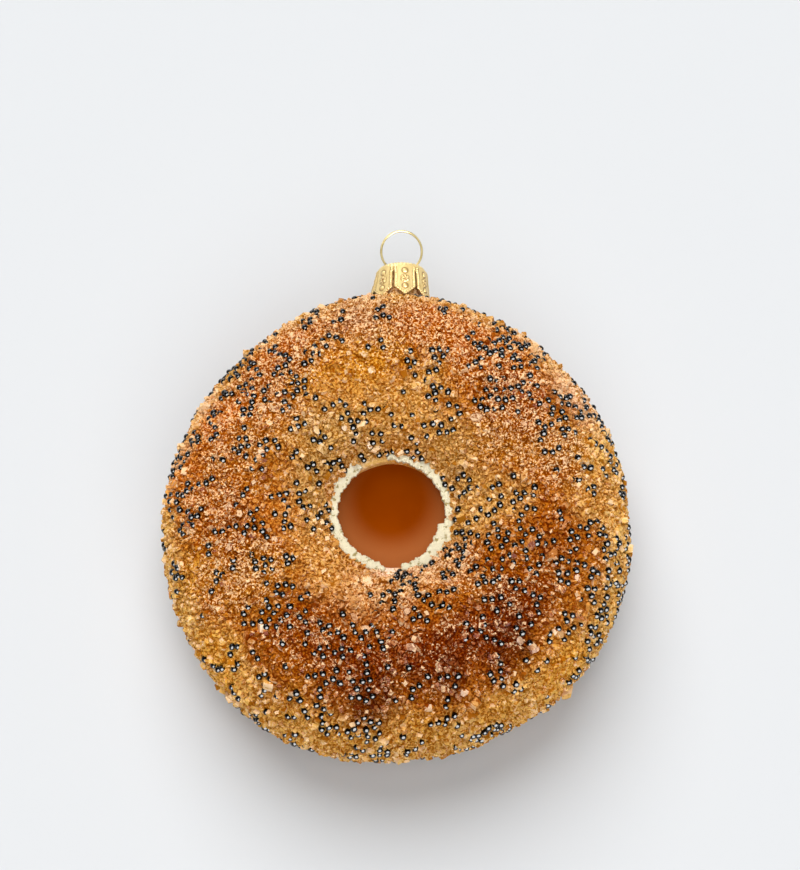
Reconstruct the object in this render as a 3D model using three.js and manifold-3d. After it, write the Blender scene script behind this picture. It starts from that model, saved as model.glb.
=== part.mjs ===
// A blown-glass tree ornament in the shape of a seeded bagel, lying on its back.
// Millimetres, +Z up. The origin is at the middle of the whole ornament's footprint, on the
// surface that it lies on. The bagel lies flat in XY, and its neck, cap and hanging loop point
// along +Y. The glass is blown in one piece, so the hole is a bowl on each side and never
// goes through. Seeds and glass chips are glued to the skin, and are one solid with it.
import * as THREE from "three";
import { mergeVertices } from "three/addons/utils/BufferGeometryUtils.js";
import Module from "manifold-3d";

const wasm = await Module();
wasm.setup();
const { Manifold, Mesh } = wasm;

// ---- Driving dimensions ----

const BAGEL_RADIUS = 41.7; // across X, skin to centre
const LENGTH_STRETCH = 0.022; // how much longer than wide the bagel is, at its rim
const FRONT_HEIGHT = 16.3; // crest of the front above the mid-plane
const BACK_HEIGHT = 15.2; // flat of the back below the mid-plane
const CREST_RADIUS = 24.5; // ring where the front is highest
const REST_INNER_RADIUS = 21.0; // the flat ring that it rests on
const REST_OUTER_RADIUS = 28.0;
const WAIST_RADIUS = 8.9; // where the round section would meet the mid-plane in the hole
const BOWL_RADIUS = 9.7; // rim of the bowl that closes the hole
const BOWL_DEPTH = 4.9;
const LEDGE_RADIUS = 11.2; // outer edge of the ledge that carries the cream rim
const LIP_RADIUS = 9.95; // inner edge of the ledge
const LIP_FALL = 0.3; // from the ledge's outer edge to its inner one
const BOWL_FALL = 1.3; // from the ledge's outer edge to the bowl's rim
const HOLE_SHIFT = [-0.8, -0.5]; // the hole is a little off centre

const NECK_SHIFT = 1.0; // the neck and the cap are a little off centre, towards +X
const NECK_RADIUS = 3.6;
const NECK_FLARE = 1.2; // how much wider the neck is at its foot
const NECK_FOOT = 36.0; // from the bagel's centre, along +Y, as all that follows
const NECK_FLARE_FOOT = 41.2;
const NECK_FLARE_TOP = 45.5;
const NECK_TOP = 49.1;
const NECK_BORE_RADIUS = 2.65;
const NECK_BORE_FLOOR = 40.5;

const CAP_TOP = 49.8; // outer face of the cap's top
const CAP_HEIGHT = 6.9;
const CAP_TOP_RADIUS = 4.55;
const CAP_SKIRT_RADIUS = 5.05;
const CAP_WALL = 0.35;
const CAP_EDGE_RADIUS = 0.9; // the rounded shoulder of the cap
const PETALS = 7;
const PETAL_TURN = 7.5; // degrees from +Z to the middle of the front petal
const SLIT_WIDTH = 0.34;
const SLIT_HEIGHT = 5.2; // from the petals' tips
const PETAL_POINT = 1.7; // height of a petal's pointed tip
const BENT_PETAL = 1.4; // how far the petal on -X is bent out at its tip
const BEND_SPREAD = 0.55; // radians on either side of -X that the bend reaches

const WIRE_DIAMETER = 0.45;
const LOOP_RADIUS = 3.82; // to the middle of the wire
const LOOP_STRETCH = 1.1; // how much longer than wide the loop is
const LOOP_CENTRE = 53.7;
const LOOP_START = 236; // degrees from +X where the ring leaves the cap, and where it comes back
const LOOP_END = -56;
const WIRE_HOLE_SPACING = 3.7;
const WIRE_HOLE_RADIUS = 0.6;
const WIRE_LEG_END = 42.0;
const WIRE_LEG_SPREAD = 2.05;

const SEED_DIAMETER = 1.0;
const SEED_SUNK = 0.28; // how deep a seed sits in the skin
const FRONT_SEEDS = 84;
const BACK_SEEDS = 40;
const CHIP_LENGTH = 2.3;
const CHIP_LIFT = 0.22; // from the skin to the chip's middle
const FRONT_CHIPS = 20;
const BACK_CHIPS = 8;

const CREAM_HEIGHT = 0.45;
const CREAM_SUNK = 1.0;
const CREAM_RAGGED = 0.22; // how far the cream's edges wander
const CREAM_STEP = 9; // degrees
// The cream rim's two stretches, in degrees from +X, and how wide each is at its widest.
const CREAM_ARCS = [
  { from: -79, to: 94, inner: 9.3, outer: 11.3 },
  { from: 118, to: 264, inner: 9.5, outer: 11.2 },
];

// ---- Where the bagel lies ----

const LOOP_TOP = LOOP_CENTRE + LOOP_RADIUS * LOOP_STRETCH + WIRE_DIAMETER / 2;
const BAGEL_LENGTH_RADIUS = BAGEL_RADIUS * (1 + LENGTH_STRETCH);
const CENTRE = new THREE.Vector3(0, (BAGEL_LENGTH_RADIUS - LOOP_TOP) / 2, BACK_HEIGHT);

// ---- Small helpers ----

const DEGREE = Math.PI / 180;
const mix = (a, b, t) => a + (b - a) * t;
const smooth = (t) => t * t * (3 - 2 * t);
const clamp01 = (t) => Math.min(1, Math.max(0, t));

// Repeatable random numbers from 0 to 1.
function randomFrom(seed) {
  let state = seed;
  return () => {
    state = (state * 16807) % 2147483647;
    return state / 2147483647;
  };
}

// A closed geometry as a solid, and a solid as a geometry.
function solid(geometry) {
  const bare = new THREE.BufferGeometry();
  bare.setAttribute("position", geometry.getAttribute("position").clone());
  if (geometry.index) bare.setIndex(geometry.index.clone());
  const merged = mergeVertices(bare, 1e-4);
  const corners = Array.from(merged.index.array);
  const triangles = [];
  for (let i = 0; i < corners.length; i += 3) {
    const [a, b, c] = corners.slice(i, i + 3);
    if (a !== b && b !== c && c !== a) triangles.push(a, b, c);
  }
  return new Manifold(
    new Mesh({
      numProp: 3,
      vertProperties: merged.attributes.position.array,
      triVerts: new Uint32Array(triangles),
    }),
  );
}

function geometryOf(made) {
  const mesh = made.getMesh();
  return new THREE.BufferGeometry()
    .setAttribute("position", new THREE.BufferAttribute(mesh.vertProperties, 3))
    .setIndex(new THREE.BufferAttribute(mesh.triVerts, 1));
}

// ---- The bagel's skin ----

// The half section from the middle of the front bowl, over the crest and round the rim,
// to the middle of the back bowl, as [radius, height above the mid-plane].
function bowl(steps) {
  const ball = (BOWL_RADIUS ** 2 + BOWL_DEPTH ** 2) / (2 * BOWL_DEPTH);
  const widest = Math.asin(BOWL_RADIUS / ball);
  const points = [];
  for (let i = 0; i <= steps; i++) {
    const a = (widest * i) / steps;
    points.push([ball * Math.sin(a), ball * (1 - Math.cos(a)) - BOWL_DEPTH]);
  }
  return points;
}

function quarter(centre, reach, height, from, to, steps) {
  const points = [];
  for (let i = 0; i <= steps; i++) {
    const a = mix(from, to, i / steps);
    points.push([centre + reach * Math.cos(a), height * Math.sin(a)]);
  }
  return points;
}

// One side of the section, from the axis to the rim at the mid-plane. The crest is a flat
// band where inner and outer differ.
function side(height, inner, outer, steps) {
  const reach = inner - WAIST_RADIUS;
  const start = Math.acos((inner - LEDGE_RADIUS) / reach);
  const ledge = height * Math.sin(start);
  const middle = bowl(steps.bowl).map(([r, z]) => [r, z + ledge - BOWL_FALL]);
  const lip = [LIP_RADIUS, ledge - LIP_FALL];
  const flank = quarter(inner, reach, height, Math.PI - start, Math.PI / 2, steps.flank);
  const shoulder = quarter(outer, BAGEL_RADIUS - outer, height, Math.PI / 2, 0, steps.shoulder);
  return [...middle, lip, ...flank, ...(inner === outer ? shoulder.slice(1) : shoulder)];
}

const STEPS = { bowl: 4, flank: 6, shoulder: 7 };
const FRONT = side(FRONT_HEIGHT, CREST_RADIUS, CREST_RADIUS, STEPS);
const BACK = side(BACK_HEIGHT, REST_INNER_RADIUS, REST_OUTER_RADIUS, STEPS);
const SECTION = [...FRONT, ...BACK.map(([r, z]) => [r, -z]).reverse().slice(1)];
const LEDGE_RING = STEPS.bowl + 2; // the section's point at the ledge's outer edge

// The hand-made outline: a few low waves, fading out towards the hole.
const OUTLINE_WAVES = [
  { count: 2, size: 0.006, turn: 133 },
  { count: 3, size: 0.011, turn: -61 },
  { count: 4, size: 0.003, turn: -61 },
  { count: 5, size: 0.005, turn: 151 },
];
const CREST_WAVES = [
  { count: 2, size: 0.022, turn: 250 },
  { count: 3, size: 0.016, turn: 40 },
  { count: 5, size: 0.01, turn: 110 },
];
const waves = (list, angle) =>
  list.reduce((sum, w) => sum + w.size * Math.cos(w.count * angle - w.turn * DEGREE), 0);

// A point of the section turned to an angle, as a place on the skin.
function skinPoint([radius, height], angle) {
  const out = smooth(clamp01((radius - LEDGE_RADIUS) / (BAGEL_RADIUS - LEDGE_RADIUS)));
  const r = radius * (1 + out * waves(OUTLINE_WAVES, angle));
  const lift = height > 0 ? 1 + out * (1 - out) * 4 * waves(CREST_WAVES, angle) : 1;
  return new THREE.Vector3(
    r * Math.cos(angle) + HOLE_SHIFT[0] * (1 - out),
    r * Math.sin(angle) * (1 + LENGTH_STRETCH * out) + HOLE_SHIFT[1] * (1 - out),
    height * lift,
  );
}

function bagelSkin() {
  const turns = 56;
  const rings = SECTION.length - 2; // the two ends are single points on the axis
  const vertices = [];
  const faces = [];
  for (let j = 1; j <= rings; j++)
    for (let i = 0; i < turns; i++)
      vertices.push(...skinPoint(SECTION[j], (2 * Math.PI * (i + 0.5 * (j % 2))) / turns));
  const front = rings * turns;
  const back = front + 1;
  vertices.push(...skinPoint(SECTION[0], 0), ...skinPoint(SECTION[rings + 1], 0));
  const at = (j, i) => j * turns + ((i + turns) % turns);
  for (let i = 0; i < turns; i++) {
    faces.push(front, at(0, i), at(0, i + 1));
    faces.push(back, at(rings - 1, i + 1), at(rings - 1, i));
  }
  for (let j = 0; j < rings - 1; j++)
    for (let i = 0; i < turns; i++) {
      const [a, b, c, d] = [at(j, i), at(j, i + 1), at(j + 1, i), at(j + 1, i + 1)];
      if (j % 2 === 0) faces.push(a, c, b, b, c, d);
      else faces.push(a, c, d, a, d, b);
    }
  return new THREE.BufferGeometry()
    .setAttribute("position", new THREE.Float32BufferAttribute(vertices, 3))
    .setIndex(faces);
}

// ---- The neck ----

const NECK_SIDES = 28;

// A short glass tube that flares into the bagel's rim.
function neck() {
  const profile = [[0, NECK_FOOT], [NECK_RADIUS + NECK_FLARE, NECK_FOOT]];
  const steps = 6;
  for (let i = 0; i <= steps; i++) {
    const t = i / steps;
    const flare = NECK_FLARE * (1 - smooth(t));
    profile.push([NECK_RADIUS + flare, mix(NECK_FLARE_FOOT, NECK_FLARE_TOP, t)]);
  }
  profile.push([NECK_RADIUS, NECK_TOP], [0, NECK_TOP]);
  const outline = profile.map(([r, y]) => new THREE.Vector2(r, y));
  return new THREE.LatheGeometry(outline, NECK_SIDES).translate(NECK_SHIFT, 0, 0);
}

// The neck's open bore, which takes the loop's two legs.
function neckBore() {
  const past = 1;
  const length = NECK_TOP + past - NECK_BORE_FLOOR;
  const bore = new THREE.CylinderGeometry(NECK_BORE_RADIUS, NECK_BORE_RADIUS, length, NECK_SIDES);
  return bore.translate(NECK_SHIFT, NECK_BORE_FLOOR + length / 2, 0);
}

// ---- What is glued to the skin ----

// The skin's place and outward direction at a fraction of the way along part of the section.
function onSkin(section, along, angle) {
  const k = Math.min(section.length - 2, Math.floor(along));
  const at = (s, a) => {
    const t = s - k;
    return skinPoint(
      [mix(section[k][0], section[k + 1][0], t), mix(section[k][1], section[k + 1][1], t)],
      a,
    );
  };
  const place = at(along, angle);
  const step = 1e-3;
  const outwards = new THREE.Vector3()
    .crossVectors(at(along + step, angle).sub(place), at(along, angle + step).sub(place))
    .normalize();
  return { place, outwards };
}

// The part of the section between two rings, with the area that it sweeps up to each point.
function sweep(section, first, last) {
  const sums = [0];
  for (let k = first; k < last; k++) {
    const [r0, z0] = section[k];
    const [r1, z1] = section[k + 1];
    sums.push(sums.at(-1) + Math.hypot(r1 - r0, z1 - z0) * (r0 + r1) * Math.PI);
  }
  return (share) => {
    const goal = share * sums.at(-1);
    const k = Math.max(0, sums.findIndex((s) => s >= goal) - 1);
    return first + k + (goal - sums[k]) / (sums[k + 1] - sums[k]);
  };
}

// Evenly spread places on the skin: equal shares of the area, a golden angle apart.
function spread(count, first, last, seed) {
  const golden = Math.PI * (3 - Math.sqrt(5));
  const random = randomFrom(seed);
  const pick = sweep(SECTION, first, last);
  const places = [];
  for (let i = 0; i < count; i++) {
    const share = (i + 0.2 + 0.6 * random()) / count;
    places.push(onSkin(SECTION, pick(share), i * golden + 0.35 * random()));
  }
  return places;
}

const FIRST_RING = LEDGE_RING + 1; // just outside the cream rim
const RIM_RING = FRONT.length - 1;
const LAST_RING = SECTION.length - 1 - FIRST_RING;
const NECK_CLEARANCE = 8.5;
const REST_CLEARANCE = 1.2;

// Nothing is glued under the cap, or where it would touch the surface below.
const isFree = ({ place }) =>
  Math.hypot(place.x, place.z) + (BAGEL_LENGTH_RADIUS - place.y) > NECK_CLEARANCE &&
  place.z > REST_CLEARANCE - BACK_HEIGHT;

function seed({ place, outwards }) {
  const geometry = new THREE.IcosahedronGeometry(SEED_DIAMETER / 2, 0);
  geometry.translate(...place.clone().addScaledVector(outwards, SEED_DIAMETER / 2 - SEED_SUNK));
  return geometry;
}

function chip({ place, outwards }, random) {
  const geometry = new THREE.IcosahedronGeometry(CHIP_LENGTH / 2, 0);
  const narrow = mix(0.55, 0.8, random());
  const flat = mix(0.36, 0.5, random());
  geometry.scale(1, narrow, flat);
  geometry.rotateX(mix(-0.3, 0.3, random()));
  geometry.rotateZ(2 * Math.PI * random());
  const turn = new THREE.Quaternion().setFromUnitVectors(new THREE.Vector3(0, 0, 1), outwards);
  geometry.applyQuaternion(turn);
  geometry.translate(...place.clone().addScaledVector(outwards, CHIP_LIFT));
  return geometry;
}

// The band of cream on the ledge: a low ridge with a ragged inner and outer edge.
const LEDGE_WIDTH = LEDGE_RADIUS - LIP_RADIUS;

function creamArc({ from, to, inner, outer }, section, up, random) {
  const steps = Math.round((to - from) / CREAM_STEP);
  const ledgeHeight = section[LEDGE_RING][1];
  const rows = [];
  for (let i = 0; i <= steps; i++) {
    const angle = mix(from, to, i / steps) * DEGREE;
    const radii = [inner + CREAM_RAGGED * random(), outer - CREAM_RAGGED * random()];
    const low = ledgeHeight - up * CREAM_SUNK;
    const slope = (r) => ledgeHeight + ((r - LEDGE_RADIUS) / LEDGE_WIDTH) * LIP_FALL * up;
    const top = (r) => slope(r) + up * CREAM_HEIGHT * mix(0.7, 1, random());
    rows.push(
      [
        [radii[0], low],
        [radii[1], low],
        [radii[1], top(radii[1])],
        [radii[0], top(radii[0])],
      ].map((p) => skinPoint(p, angle)),
    );
  }
  const vertices = rows.flat().flatMap((p) => [...p]);
  const faces = [0, 1, 2, 0, 2, 3];
  const last = steps * 4;
  faces.push(last, last + 2, last + 1, last, last + 3, last + 2);
  for (let i = 0; i < steps; i++)
    for (let k = 0; k < 4; k++) {
      const [a, b] = [i * 4 + k, i * 4 + ((k + 1) % 4)];
      faces.push(a, a + 4, b, b, a + 4, b + 4);
    }
  const turned = up > 0 ? faces : faces.toReversed();
  return new THREE.BufferGeometry()
    .setAttribute("position", new THREE.Float32BufferAttribute(vertices, 3))
    .setIndex(turned);
}

function creamRims() {
  const random = randomFrom(11);
  const back = BACK.map(([r, z]) => [r, -z]);
  return [
    ...CREAM_ARCS.map((arc) => creamArc(arc, FRONT, 1, random)),
    ...CREAM_ARCS.map((arc) => creamArc(arc, back, -1, random)),
  ];
}

function bagel() {
  const random = randomFrom(23);
  const seeds = [
    ...spread(FRONT_SEEDS, FIRST_RING, RIM_RING, 5),
    ...spread(BACK_SEEDS, RIM_RING, LAST_RING, 7),
  ].filter(isFree);
  const chips = [
    ...spread(FRONT_CHIPS, FIRST_RING, RIM_RING, 31),
    ...spread(BACK_CHIPS, RIM_RING, LAST_RING, 37),
  ].filter(isFree);
  const glued = [
    ...creamRims(),
    ...seeds.map(seed),
    ...chips.map((place) => chip(place, random)),
  ];
  const joined = Manifold.union([
    solid(bagelSkin()),
    solid(neck()),
    ...glued.map(solid),
  ]);
  return geometryOf(joined.subtract(solid(neckBore())).simplify(0.01));
}

// ---- The cap ----

// Closed half section of the thin cap: outside from the middle of the top down to the
// petals' tips, and back up the inside.
function capSection() {
  const outer = [[0, CAP_TOP]];
  const bendSteps = 4;
  const skirtSteps = 5;
  for (let i = 0; i <= bendSteps; i++) {
    const a = (i / bendSteps) * (Math.PI / 2);
    outer.push([
      CAP_TOP_RADIUS - CAP_EDGE_RADIUS * (1 - Math.sin(a)),
      CAP_TOP - CAP_EDGE_RADIUS * (1 - Math.cos(a)),
    ]);
  }
  const skirtTop = CAP_TOP - CAP_EDGE_RADIUS;
  const tip = CAP_TOP - CAP_HEIGHT;
  for (let i = 1; i <= skirtSteps; i++) {
    const t = i / skirtSteps;
    outer.push([mix(CAP_TOP_RADIUS, CAP_SKIRT_RADIUS, t), mix(skirtTop, tip, t)]);
  }
  const inner = outer
    .slice(1)
    .reverse()
    .map(([r, y]) => [r - CAP_WALL * clamp01((CAP_TOP - y) / CAP_EDGE_RADIUS), y])
    .map(([r, y]) => [r, Math.min(y, CAP_TOP - CAP_WALL)]);
  return [...outer, ...inner, [0, CAP_TOP - CAP_WALL]];
}

// The petal on -X is bent out, the more so towards its tip.
function bendPetals(geometry) {
  const position = geometry.getAttribute("position");
  for (let i = 0; i < position.count; i++) {
    const [x, y, z] = [position.getX(i), position.getY(i), position.getZ(i)];
    const down = clamp01((CAP_TOP - y) / CAP_HEIGHT);
    const angle = Math.atan2(z, -x);
    const bend = BENT_PETAL * down ** 2 * Math.exp(-((angle / BEND_SPREAD) ** 2));
    const r = Math.hypot(x, z);
    if (r > 1e-6) position.setXYZ(i, (x * (r + bend)) / r, y, (z * (r + bend)) / r);
  }
}

// What is cut from between two petals: a narrow slit that opens into a wide V.
function slit() {
  const tip = CAP_TOP - CAP_HEIGHT;
  const halfPitch = (Math.PI * CAP_SKIRT_RADIUS) / PETALS;
  const half = SLIT_WIDTH / 2;
  const shape = new THREE.Shape()
    .moveTo(-halfPitch, tip - 1)
    .lineTo(halfPitch, tip - 1)
    .lineTo(halfPitch, tip)
    .lineTo(half, tip + PETAL_POINT)
    .lineTo(half, tip + SLIT_HEIGHT)
    .lineTo(-half, tip + SLIT_HEIGHT)
    .lineTo(-half, tip + PETAL_POINT)
    .lineTo(-halfPitch, tip);
  const innerEnd = CAP_TOP_RADIUS - 1.5;
  const outerEnd = CAP_SKIRT_RADIUS + BENT_PETAL + 1;
  const depth = outerEnd - innerEnd;
  const geometry = new THREE.ExtrudeGeometry(shape, { depth, bevelEnabled: false });
  return geometry.translate(0, 0, innerEnd);
}

function wireHole(x) {
  const depth = 3;
  const hole = new THREE.CylinderGeometry(WIRE_HOLE_RADIUS, WIRE_HOLE_RADIUS, depth, 12);
  return hole.translate(x, CAP_TOP, 0);
}

function cap() {
  const outline = capSection().map(([r, y]) => new THREE.Vector2(r, y));
  const shell = new THREE.LatheGeometry(outline.reverse(), 6 * PETALS);
  bendPetals(shell);
  const cuts = [];
  for (let i = 0; i < PETALS; i++) {
    const turn = PETAL_TURN * DEGREE + ((i + 0.5) * 2 * Math.PI) / PETALS;
    cuts.push(slit().rotateY(turn));
  }
  for (const side of [-1, 1]) cuts.push(wireHole((side * WIRE_HOLE_SPACING) / 2));
  const cut = Manifold.union(cuts.map(solid));
  return geometryOf(solid(shell).subtract(cut).simplify(0.005));
}

// ---- The hanging loop ----

// One spring wire: up through a hole in the cap, round the ring, and down the other hole.
function loop() {
  const half = WIRE_HOLE_SPACING / 2;
  const leg = [
    [-WIRE_LEG_SPREAD, WIRE_LEG_END],
    [-WIRE_LEG_SPREAD, mix(WIRE_LEG_END, CAP_TOP, 0.4)],
    [-half, CAP_TOP - 1.6],
    [-half, CAP_TOP - CAP_WALL / 2],
  ];
  const points = [...leg];
  const turns = 10;
  for (let i = 0; i <= turns; i++) {
    const a = mix(LOOP_START, LOOP_END, i / turns) * DEGREE;
    points.push([
      LOOP_RADIUS * Math.cos(a),
      LOOP_CENTRE + LOOP_RADIUS * LOOP_STRETCH * Math.sin(a),
    ]);
  }
  points.push(...leg.toReversed().map(([x, y]) => [-x, y]));
  const path = new THREE.CatmullRomCurve3(
    points.map(([x, y]) => new THREE.Vector3(x, y, 0)),
    false,
    "centripetal",
  );
  const section = new THREE.Shape();
  section.absarc(0, 0, WIRE_DIAMETER / 2, 0, 2 * Math.PI, false);
  return new THREE.ExtrudeGeometry(section, { steps: 50, extrudePath: path, curveSegments: 3 });
}

// ---- The ornament ----

const coat = new THREE.MeshStandardMaterial({ color: 0xc8772c, roughness: 0.35, metalness: 0 });
const gold = new THREE.MeshStandardMaterial({ color: 0xe0b45c, roughness: 0.28, metalness: 1 });
const paleGold = new THREE.MeshStandardMaterial({ color: 0xd8c68c, roughness: 0.25, metalness: 1 });

function piece(name, geometry, material) {
  const mesh = new THREE.Mesh(geometry, material);
  mesh.name = name;
  return mesh;
}

const fittings = new THREE.Group();
fittings.position.x = NECK_SHIFT;
fittings.add(piece("cap", cap(), gold), piece("hanging_loop", loop(), paleGold));

const ornament = new THREE.Group();
ornament.position.copy(CENTRE);
ornament.add(piece("bagel", bagel(), coat), fittings);

export default ornament;
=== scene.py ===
"""Looks of a blown-glass tree ornament in the shape of a seeded bagel.

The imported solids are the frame. The bagel's solid is replaced by its painted glass skin, the
brown bowls that close the hole, the cream rims, and everything that is glued on: glass grit,
chips and black beads. The cap and the loop are replaced by finer ones of the same form.
Sizes are in millimetres, measured from the bagel's centre with +Z out of its front face,
until a mesh is made.
"""

import math

import bmesh
import bpy
import numpy as np
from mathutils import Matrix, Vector


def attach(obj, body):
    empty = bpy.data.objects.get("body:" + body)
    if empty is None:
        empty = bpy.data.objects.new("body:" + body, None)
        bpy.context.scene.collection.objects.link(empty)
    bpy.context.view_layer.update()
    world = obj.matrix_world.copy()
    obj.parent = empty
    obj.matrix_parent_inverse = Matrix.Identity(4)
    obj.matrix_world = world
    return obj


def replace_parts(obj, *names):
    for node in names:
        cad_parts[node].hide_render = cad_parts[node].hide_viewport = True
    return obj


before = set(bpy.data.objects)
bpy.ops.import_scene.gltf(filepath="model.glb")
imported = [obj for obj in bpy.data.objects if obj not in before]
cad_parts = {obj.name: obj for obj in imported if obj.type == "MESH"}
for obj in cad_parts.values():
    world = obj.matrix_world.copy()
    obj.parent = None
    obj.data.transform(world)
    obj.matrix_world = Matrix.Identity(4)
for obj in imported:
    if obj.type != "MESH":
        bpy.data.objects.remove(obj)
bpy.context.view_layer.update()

# ---- Driving sizes, as in the solids ----

BAGEL_RADIUS = 41.7
LENGTH_STRETCH = 0.022  # how much longer than wide the bagel is, at its rim
FRONT_HEIGHT = 16.3  # crest of the front above the mid-plane
BACK_HEIGHT = 15.2  # flat of the back below the mid-plane
CREST_RADIUS = 24.5
REST_INNER_RADIUS = 21.0  # the flat ring that it rests on
REST_OUTER_RADIUS = 28.0
WAIST_RADIUS = 8.9  # where the round section would meet the mid-plane in the hole
BOWL_RADIUS = 9.7
BOWL_DEPTH = 4.9
LEDGE_RADIUS = 11.2  # outer edge of the ledge that carries the cream rim
LIP_RADIUS = 9.95  # inner edge of the ledge
LIP_FALL = 0.3  # from the ledge's outer edge to its inner one
BOWL_FALL = 1.3  # from the ledge's outer edge to the bowl's rim
HOLE_SHIFT = (-0.8, -0.5)
# Slow waves round the outline and round the crest: how many, their size, and where they peak.
OUTLINE_WAVES = ((2, 0.006, 133), (3, 0.011, -61), (4, 0.003, -61), (5, 0.005, 151))
CREST_WAVES = ((2, 0.022, 250), (3, 0.016, 40), (5, 0.01, 110))

NECK_SHIFT = 1.0
NECK_RADIUS = 3.6
NECK_FLARE = 1.2  # how much wider the neck is at its foot
NECK_FLARE_FOOT = 41.2
NECK_FLARE_TOP = 45.5
CAP_TOP = 49.8
CAP_HEIGHT = 6.9
CAP_TOP_RADIUS = 4.55
CAP_SKIRT_RADIUS = 5.05
CAP_EDGE_RADIUS = 0.9
PETALS = 7
PETAL_TURN = 7.5  # degrees from +Z to the middle of the front petal
SLIT_WIDTH = 0.34
SLIT_HEIGHT = 5.2
PETAL_POINT = 1.7
BENT_PETAL = 1.4  # how far the petal on -X is bent out at its tip
BEND_SPREAD = 0.55  # radians on either side of -X that the bend reaches

WIRE_DIAMETER = 0.45
LOOP_RADIUS = 3.82
LOOP_STRETCH = 1.1
LOOP_CENTRE = 53.7
LOOP_START = 236  # degrees from +X
LOOP_END = -56
WIRE_HOLE_SPACING = 3.7
WIRE_LEG_END = 42.0
WIRE_LEG_SPREAD = 2.05

LOOP_TOP = LOOP_CENTRE + LOOP_RADIUS * LOOP_STRETCH + WIRE_DIAMETER / 2
LENGTH_RADIUS = BAGEL_RADIUS * (1 + LENGTH_STRETCH)
CENTRE = np.array([0.0, (LENGTH_RADIUS - LOOP_TOP) / 2, BACK_HEIGHT])

# ---- Sizes of what only shows here ----

SKIN_INSET = 0.28  # the glass lies this far inside the solid, so that the grit has room
LUMP_HEIGHT = 0.09
CREAM_THICKNESS = 0.42
CREAM_GRAIN = 0.035
CREAM_CLEARANCE = 10.75  # from the hole's axis to the nearest grit
BOWL_TUCK = 0.06  # how far the bowl's edge reaches into the lip
NECK_START = 40.5
NECK_END = 48.9
NECK_GRIT = (41.8, 45.6)
CAP_SHEET = 0.22
CAP_REACH = 38  # along +Y, where the cap's neighbourhood begins

FINE_GRAIN = 0.95
FRONT_GRAINS = 15500
BACK_GRAINS = 14500
COARSE_GRAIN = 1.25
COARSE_GRAINS = 7500
FLAKE = 2.2
FLAKES = 140
NECK_GRAIN = 0.4
NECK_GRAINS = 420
BEAD_DIAMETER = 1.28
BEADS = 2050

FLANK_POINTS, SHOULDER_POINTS = 50, 60  # of the curves that the section is made from
SKIN_SPACING = 0.5  # of the skin's own points along its section
CRUST_TURNS = 440
BOWL_RINGS, BOWL_TURNS = 40, 160
NECK_RINGS, NECK_TURNS = 30, 72
PETAL_ROWS, PETAL_COLUMNS = 66, 40
CAP_TURNS = 210

MM = 0.001
GOLDEN_ANGLE = math.pi * (3 - math.sqrt(5))

rng = np.random.default_rng(449)

# ---- Small helpers ----


def smooth(t):
    t = np.clip(t, 0, 1)
    return t * t * (3 - 2 * t)


def hump(x):
    return np.exp(-(x**2))


def whole_turn(steps):
    return np.linspace(0, 2 * math.pi, steps, endpoint=False)


def grid_faces(rows, columns, closed):
    """Quads of a grid of points, row by row, closed round on itself or not."""
    across = columns if closed else columns - 1
    j, i = np.meshgrid(np.arange(rows - 1), np.arange(across), indexing="ij")
    row, above = j * columns, (j + 1) * columns
    k = (i + 1) % columns
    return np.stack([row + i, row + k, above + k, above + i]).reshape(4, -1).T


def joined(shapes):
    """The points and faces of several shapes, as those of one."""
    points, faces, start = [], [], 0
    for shape, quads in shapes:
        points.append(shape)
        faces.append(quads + start)
        start += len(shape)
    return np.concatenate(points), np.concatenate(faces)


def new_piece(name, points, faces, material, slot, shade_smooth=True):
    """A mesh piece on the root body, from points in millimetres about the bagel's centre."""
    points = (np.asarray(points) + CENTRE) * MM
    points[:, 2] = np.maximum(points[:, 2], 0.0)  # nothing sinks into what it lies on
    corners = np.concatenate(faces).astype(np.int32)
    sizes = np.array([len(face) for face in faces])
    starts = (np.cumsum(sizes) - sizes).astype(np.int32)
    mesh = bpy.data.meshes.new(name)
    mesh.vertices.add(len(points))
    mesh.vertices.foreach_set("co", points.astype(np.float32).ravel())
    mesh.loops.add(len(corners))
    mesh.loops.foreach_set("vertex_index", corners)
    mesh.polygons.add(len(sizes))
    mesh.polygons.foreach_set("loop_start", starts)
    mesh.update(calc_edges=True)
    mesh.validate()
    mesh.polygons.foreach_set("use_smooth", np.full(len(mesh.polygons), shade_smooth))
    mesh.materials.append(material)
    piece = bpy.data.objects.new(name, mesh)
    bpy.context.scene.collection.objects.link(piece)
    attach(piece, "root")
    return piece


# ---- The bagel's skin ----


def arc(centre, reach, height, start, end, steps):
    a = np.linspace(start, end, steps)
    return np.stack([centre + reach * np.cos(a), height * np.sin(a)], axis=1)


def half_section(height, inner, outer):
    """From the hole's lip to the rim at the mid-plane, as rows of radius and height."""
    reach = inner - WAIST_RADIUS
    start = math.acos((inner - LEDGE_RADIUS) / reach)
    ledge = height * math.sin(start)
    lip = np.array([
        [BOWL_RADIUS - 0.1, ledge - BOWL_FALL - 0.4],
        [BOWL_RADIUS - 0.04, ledge - BOWL_FALL + 0.3],
        [BOWL_RADIUS + 0.02, ledge - LIP_FALL - 0.3],
        [LIP_RADIUS - 0.1, ledge - LIP_FALL - 0.06],
        [LIP_RADIUS + 0.05, ledge - LIP_FALL],
    ])
    top = height - SKIN_INSET
    flank = arc(inner, reach, top, math.pi - start, math.pi / 2, FLANK_POINTS)
    shoulder_reach = BAGEL_RADIUS - SKIN_INSET - outer
    shoulder = arc(outer, shoulder_reach, top, math.pi / 2, 0, SHOULDER_POINTS)
    if outer == inner:
        shoulder = shoulder[1:]
    return np.concatenate([lip, flank, shoulder]), ledge


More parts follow.
